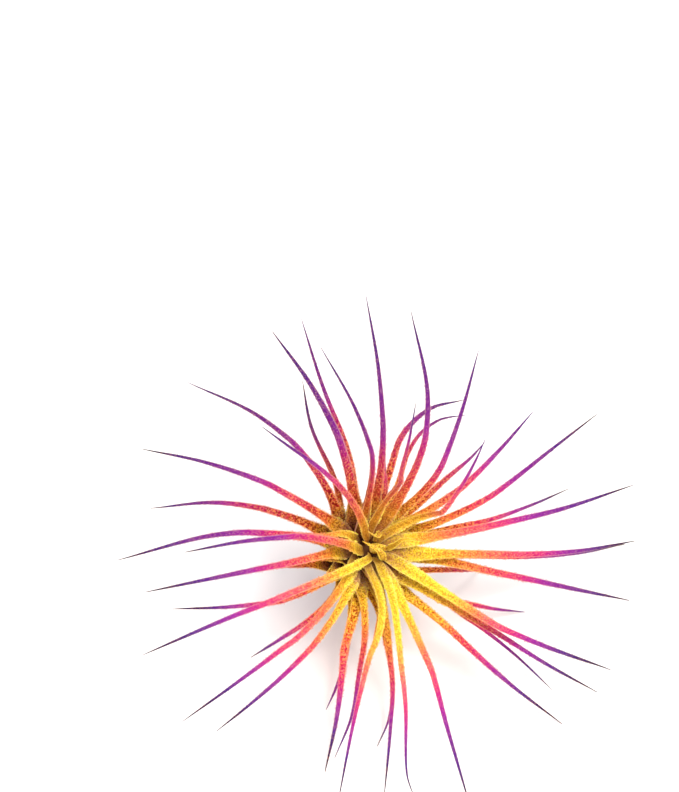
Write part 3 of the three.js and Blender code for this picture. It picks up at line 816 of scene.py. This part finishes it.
# Young leaves took a thinner coat of the reds, so their middles stay salmon.
youth = node(tree, "ShaderNodeMapRange", {"Value": age, "From Min": 0.1, "From Max": 0.7,
                                          "To Min": 0.8, "To Max": 0.0})
thin_coat = node(tree, "ShaderNodeValToRGB", {"Fac": base_tone})
fill_ramp(thin_coat, [(0.16, "#000000"), (0.3, "#6a5040"), (0.44, "#705650"), (0.56, "#281820"),
                      (0.64, "#000000")])
dyed = node(tree, "ShaderNodeMix", {0: youth.outputs["Result"], 6: dye.outputs["Color"],
                                    7: thin_coat.outputs["Color"]},
            data_type="RGBA", blend_type="SCREEN").outputs[2]

# Leaves at the back are drawn darker and deeper red, and the channels are darkened with painted
# shade.
# Leaves whose tips reach up and to the left are multiplied darker, most in the reds.
deep_reds = node(tree, "ShaderNodeMapRange", {"Value": base_tone, "From Min": 0.42,
                                              "From Max": 0.64, "To Min": 0.85, "To Max": 0.35})
deepened = node(tree, "ShaderNodeMath", {0: deep, 1: deep_reds.outputs["Result"]},
                operation="MULTIPLY")
dyed = node(tree, "ShaderNodeMix", {0: deepened.outputs["Value"], 6: dyed,
                                    7: colour("#c87ca6")},
            data_type="RGBA", blend_type="MULTIPLY").outputs[2]
# Painted shade: the hollow of the channel, low down on the inner face, is darkened golden
# brown.
channel_shade_across = node(tree, "ShaderNodeMapRange", {"Value": margin, "From Min": 0.1,
                                                "From Max": 0.6, "To Min": 0.42, "To Max": 0.0})
channel_shade_low = node(tree, "ShaderNodeMapRange", {"Value": along, "From Min": 0.2, "From Max": 0.55,
                                             "To Min": 1.0, "To Max": 0.1})
inner = node(tree, "ShaderNodeMath", {0: 1.0, 1: outer}, operation="SUBTRACT")
channel_shade = node(tree, "ShaderNodeMath", {0: channel_shade_across.outputs["Result"],
                                         1: channel_shade_low.outputs["Result"]}, operation="MULTIPLY")
channel_shade = node(tree, "ShaderNodeMath", {0: channel_shade.outputs["Value"],
                                         1: inner.outputs["Value"]}, operation="MULTIPLY")
dyed = node(tree, "ShaderNodeMix", {0: channel_shade.outputs["Value"], 6: dyed,
                                    7: colour("#c08840")},
            data_type="RGBA", blend_type="MULTIPLY").outputs[2]

# Worn scales show the darker skin under them, and fresh ones are pale.
is_worn = node(tree, "ShaderNodeMapRange", {"Value": chances.outputs["Green"],
                                            "From Min": 0.4, "From Max": 0.62,
                                            "To Min": 0.0, "To Max": 0.95})
worn = node(tree, "ShaderNodeMath", {0: is_worn.outputs["Result"], 1: rugged},
            operation="MULTIPLY", use_clamp=True)
under_skin = node(tree, "ShaderNodeValToRGB", {"Fac": base_tone})
fill_ramp(under_skin, [(0.2, "#9a6420"), (0.36, "#a85838"), (0.5, "#a86070")])
dyed = node(tree, "ShaderNodeMix", {0: worn.outputs["Value"], 6: dyed,
                                    7: under_skin.outputs["Color"]},
            data_type="RGBA", blend_type="MULTIPLY").outputs[2]
is_fresh = node(tree, "ShaderNodeMapRange", {"Value": chances.outputs["Blue"],
                                             "From Min": 0.66, "From Max": 0.72,
                                             "To Min": 0.0, "To Max": 0.75})
glint = node(tree, "ShaderNodeMath", {0: is_fresh.outputs["Result"], 1: rugged},
             operation="MULTIPLY")
dyed = node(tree, "ShaderNodeMix", {0: glint.outputs["Value"], 6: dyed, 7: colour("#e89c4c")},
            data_type="RGBA", blend_type="SCREEN").outputs[2]

# The outer faces of older sheaths missed the dye and are pinkish tan. Low down
# every sheath is darkened olive brown as painted shade, and the thin margins are dry and pale.
sheath = node(tree, "ShaderNodeMapRange", {"Value": along, "From Min": 0.1, "From Max": 0.26,
                                           "To Min": 0.85, "To Max": 0.0})
aged = node(tree, "ShaderNodeMapRange", {"Value": age, "From Min": 0.1, "From Max": 0.3})
missed = node(tree, "ShaderNodeMath", {0: sheath.outputs["Result"], 1: outer},
              operation="MULTIPLY")
missed = node(tree, "ShaderNodeMath", {0: missed.outputs["Value"], 1: aged.outputs["Result"]},
              operation="MULTIPLY")
dyed = node(tree, "ShaderNodeMix", {0: missed.outputs["Value"], 6: dyed, 7: colour("#c8917e")},
            data_type="RGBA").outputs[2]
# Painted shade: the lowest part of every leaf is darkened olive brown, as shade deep in the
# rosette.
foot = node(tree, "ShaderNodeMapRange", {"Value": along, "From Min": 0.02, "From Max": 0.12,
                                         "To Min": 0.65, "To Max": 0.0})
dyed = node(tree, "ShaderNodeMix", {0: foot.outputs["Result"], 6: dyed, 7: colour("#94743c")},
            data_type="RGBA", blend_type="MULTIPLY").outputs[2]
edge = node(tree, "ShaderNodeMapRange", {"Value": margin, "From Min": 0.74, "From Max": 0.94,
                                         "To Min": 0.0, "To Max": 0.6})
dyed = node(tree, "ShaderNodeMix", {0: edge.outputs["Result"], 6: dyed, 7: colour("#b09468")},
            data_type="RGBA", blend_type="SCREEN").outputs[2]
scales = node(tree, "ShaderNodeBump", {"Height": cells.outputs["Distance"], "Strength": 0.8,
                                       "Distance": SCALE_RELIEF / MM_IN_METRE})
flesh = node(tree, "ShaderNodeBsdfPrincipled", {
    "Base Color": dyed, "Roughness": 0.62, "Specular IOR Level": 0.12,
    "Subsurface Weight": 0.04, "Subsurface Scale": FLESH_DEPTH / MM_IN_METRE,
    "Subsurface Radius": (1.0, 0.4, 0.2), "Normal": scales.outputs["Normal"]})
node(tree, "ShaderNodeOutputMaterial", {"Surface": flesh.outputs["BSDF"]})

# Heart bud: the next leaves, still rolled up tight round one another in the
# middle of the rosette, on top of the stem. It is the same tissue as the leaves.
BUD_ROLLS = 3
BUD_TWIST = 1.4
BUD_FOOT_DROP = 0.9
BUD_ROUND_X = [0, 0.25, 0.5, 0.8, 1.0]
BUD_ROUND_Y = [1.2, 1.05, 0.75, 0.45, 0.1]
BUD_INNER_PART = 0.86


def dress(piece):
    # One round of smoothing, and the tissue on it.
    select_only(piece)
    finish = piece.modifiers.new("smooth", "SUBSURF")
    finish.levels = finish.render_levels = 1
    bpy.ops.object.modifier_apply(modifier=finish.name)
    bpy.ops.object.shade_smooth()
    piece.data.materials.append(tissue)


bud = copy_blank("heart_bud")
bud_drop = BUD_FOOT_DROP - blank_share * (BUD_FOOT_DROP + BUD_HEIGHT)
bud_round = np.interp(blank_share, BUD_ROUND_X, BUD_ROUND_Y)
coil = (blank_turn / (2 * math.pi) * BUD_ROLLS + blank_share * BUD_TWIST) % 1.0
bud_round = bud_round * (BUD_INNER_PART + (1 - BUD_INNER_PART) * coil)
spokes = (EAST * np.cos(blank_turn)[:, None] + NORTH * np.sin(blank_turn)[:, None])
spots = HEART - AXIS * bud_drop[:, None] + spokes * bud_round[:, None]
move_points(bud, spots)
bud_facts = {
    "tone": 0.16 + 0.04 * blank_share,
    "deep": 0 * everywhere,
    "margin": coil,
    "outer": everywhere,
    "age": 0 * everywhere,
    "share": 0.2 + 0.3 * blank_share,
}
write_facts(bud.data, bud_facts, spots)
dress(bud)
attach(bud, "root")
bpy.data.objects.remove(blank)

# Every leaf gets the same smoothing and tissue, hangs from the root, and its
# solid is hidden.
for order, (piece, name) in enumerate(leaves):
    dress(piece)
    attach(piece, "root")
    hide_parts(name)

# Scales: silvery water-drinking scales that stand off the leaf margins and lie
# along the faces. Each is a papery pointed flake, coloured by the leaf below.
# They are far fewer than on a real leaf, and large enough to show.
SCALES_A_LEAF = 900
MARGIN_PART = 0.7
FLAKE_LENGTH = 0.3
FLAKE_WIDTH = 0.14
FLAKE_ROOT = 0.03
FLAKE_SHOULDER = 0.45
FLAKES_FROM = 0.1
FLAKES_TO = 0.9
FACE_REACH = 0.9
MARGIN_REACH = 0.99
MARGIN_SPREAD = 0.4
LEAN_AHEAD = 0.8
MARGIN_STAND = 0.8
FACE_STAND = 0.35
STRAY = 0.35
LENGTH_LEAST = 0.6
LENGTH_MOST = 1.2
FULL_WIDTH = 1.6
NARROW_PART = 0.25
TABLE_CLEARANCE = 0.05
chance = np.random.default_rng(11)
flakes, flake_tones = [], []
for shape, stage in zip(shapes, stages):
    spot = chance.uniform(FLAKES_FROM, FLAKES_TO, SCALES_A_LEAF) * ALONG
    low = spot.astype(int)
    part = (spot - low)[:, None]
    here = shape[low] * (1 - part) + shape[low + 1] * part
    middle, side, face, run = (here[:, k:k + 3] for k in (0, 3, 6, 9))
    width, half, hollow = here[:, 12:13], here[:, 13:14], here[:, 14:15]
    on_margin = (chance.random(SCALES_A_LEAF) < MARGIN_PART)[:, None]
    across = chance.uniform(-FACE_REACH, FACE_REACH, (SCALES_A_LEAF, 1))
    across = np.where(on_margin, np.where(across < 0, -MARGIN_REACH, MARGIN_REACH), across)
    skin_side = np.where(chance.random((SCALES_A_LEAF, 1)) < 0.5, -1.0, 1.0)
    rise = hollow * channel(across) + half * skin_side * bulge(np.sqrt(1 - across ** 2))
    root = middle + side * across * width / 2 + face * rise
    out = unit(np.where(on_margin, side * np.sign(across) + face * skin_side * MARGIN_SPREAD,
                        face * skin_side))
    stray = chance.normal(0, STRAY, (SCALES_A_LEAF, 3))
    lean = unit(run * LEAN_AHEAD + out * np.where(on_margin, MARGIN_STAND, FACE_STAND) + stray)
    small = np.minimum(1.0, width / FULL_WIDTH + NARROW_PART)
    broad_way = unit(np.cross(lean, out)) * FLAKE_WIDTH / 2 * small
    length = chance.uniform(LENGTH_LEAST, LENGTH_MOST, (SCALES_A_LEAF, 1))
    reach = lean * FLAKE_LENGTH * small * length
    shoulder = root + reach * FLAKE_SHOULDER
    corners = [root - out * FLAKE_ROOT, shoulder + broad_way, root + reach,
               shoulder - broad_way]
    flake = np.stack(corners, axis=1)
    flake[..., 2] = np.maximum(flake[..., 2], TABLE_CLEARANCE)
    flakes.append(flake.reshape(-1, 3))
    flake_tones.append(np.repeat(np.interp(spot, np.arange(ALONG + 1), stage), 4))
flakes = np.concatenate(flakes)
flake_mesh = bpy.data.meshes.new("silver_scales")
quads = np.arange(len(flakes)).reshape(-1, 4).tolist()
flake_mesh.from_pydata(metres(flakes).tolist(), [], quads)
layer = flake_mesh.attributes.new("tone", "FLOAT", "POINT")
layer.data.foreach_set("value", np.concatenate(flake_tones).astype(np.float32))
scale_coat = bpy.data.objects.new("silver_scales", flake_mesh)
bpy.context.collection.objects.link(scale_coat)

# Papery scale: pale, dry and matt, letting the leaf's dye show through.
SCALE_PALENESS = 0.55
paper_scale = fresh("papery_leaf_scale")
tree = paper_scale.node_tree
base_tone = node(tree, "ShaderNodeAttribute", attribute_name="tone").outputs["Fac"]
dye = node(tree, "ShaderNodeValToRGB", {"Fac": base_tone})
fill_ramp(dye, DYES)
faded = node(tree, "ShaderNodeMix", {0: SCALE_PALENESS, 6: dye.outputs["Color"],
                                     7: colour("#b89660")},
             data_type="RGBA", blend_type="SCREEN")
flake_skin = node(tree, "ShaderNodeBsdfPrincipled", {
    "Base Color": faded.outputs[2], "Roughness": 0.7, "Specular IOR Level": 0.25})
node(tree, "ShaderNodeOutputMaterial", {"Surface": flake_skin.outputs["BSDF"]})
scale_coat.data.materials.append(paper_scale)
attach(scale_coat, "root")

# Table: a plain pale sheet that the plant stands on, a hair below its tips. It
# is matt card, lit by two broad soft lights in a white room.
TABLE_SIZE = 6.0
TABLE_DROP = 0.02
ROOM_LIGHT = 0.55
card = fresh("matt_white_board")
tree = card.node_tree
card_skin = node(tree, "ShaderNodeBsdfPrincipled", {"Base Color": colour("#f4f2f3"),
                                                    "Roughness": 0.9})
node(tree, "ShaderNodeOutputMaterial", {"Surface": card_skin.outputs["BSDF"]})
bpy.ops.object.select_all(action="DESELECT")
bpy.ops.mesh.primitive_plane_add(size=TABLE_SIZE, location=(0, 0, -TABLE_DROP / MM_IN_METRE))
floor = bpy.context.active_object
floor.name = floor.data.name = "table_top"
floor.data.materials.append(card)


def soft_light(name, azimuth, elevation, distance, size, power, tint):
    data = bpy.data.lights.new(name, "AREA")
    data.shape = "SQUARE"
    data.size = size
    data.energy = power
    data.color = colour(tint)[:3]
    lamp = bpy.data.objects.new(name, data)
    bpy.context.collection.objects.link(lamp)
    turn, lift = math.radians(azimuth), math.radians(elevation)
    away = Vector((math.sin(turn) * math.cos(lift), -math.cos(turn) * math.cos(lift),
                   math.sin(lift)))
    lamp.location = away * distance
    lamp.rotation_euler = away.to_track_quat("Z", "Y").to_euler()


soft_light("key_softbox", azimuth=25, elevation=60, distance=0.9, size=0.4, power=10.5,
           tint="#fffaf4")
soft_light("fill_softbox", azimuth=-60, elevation=40, distance=1.1, size=0.7, power=4.0,
           tint="#f6f6ff")
world = bpy.data.worlds.new("white_room")
bpy.context.scene.world = world
world.use_nodes = True
world.node_tree.nodes["Background"].inputs["Color"].default_value = (1, 1, 1, 1)
world.node_tree.nodes["Background"].inputs["Strength"].default_value = ROOM_LIGHT
bpy.context.scene.view_settings.view_transform = "Standard"

# Camera: looks down at the plant at 45 degrees from far off, as the photograph
# does. The plant stands low in the picture and right of its middle.
CAMERA_DISTANCE = 2000.0
FRAME_HEIGHT = 158.4
FRAME_ACROSS = -7.3
FRAME_UP = 30.4
aim = metres([HEART + place(FRAME_ACROSS, FRAME_UP, 0)])[0]
lens_data = bpy.data.cameras.new("photo_camera")
lens_data.sensor_fit = "VERTICAL"
lens_data.lens = lens_data.sensor_height * CAMERA_DISTANCE / FRAME_HEIGHT
camera = bpy.data.objects.new("photo_camera", lens_data)
bpy.context.collection.objects.link(camera)
camera.location = Vector(aim) + Vector(TOWARD) * CAMERA_DISTANCE / MM_IN_METRE
camera.rotation_euler = Vector(TOWARD).to_track_quat("Z", "Y").to_euler()
bpy.context.scene.camera = camera
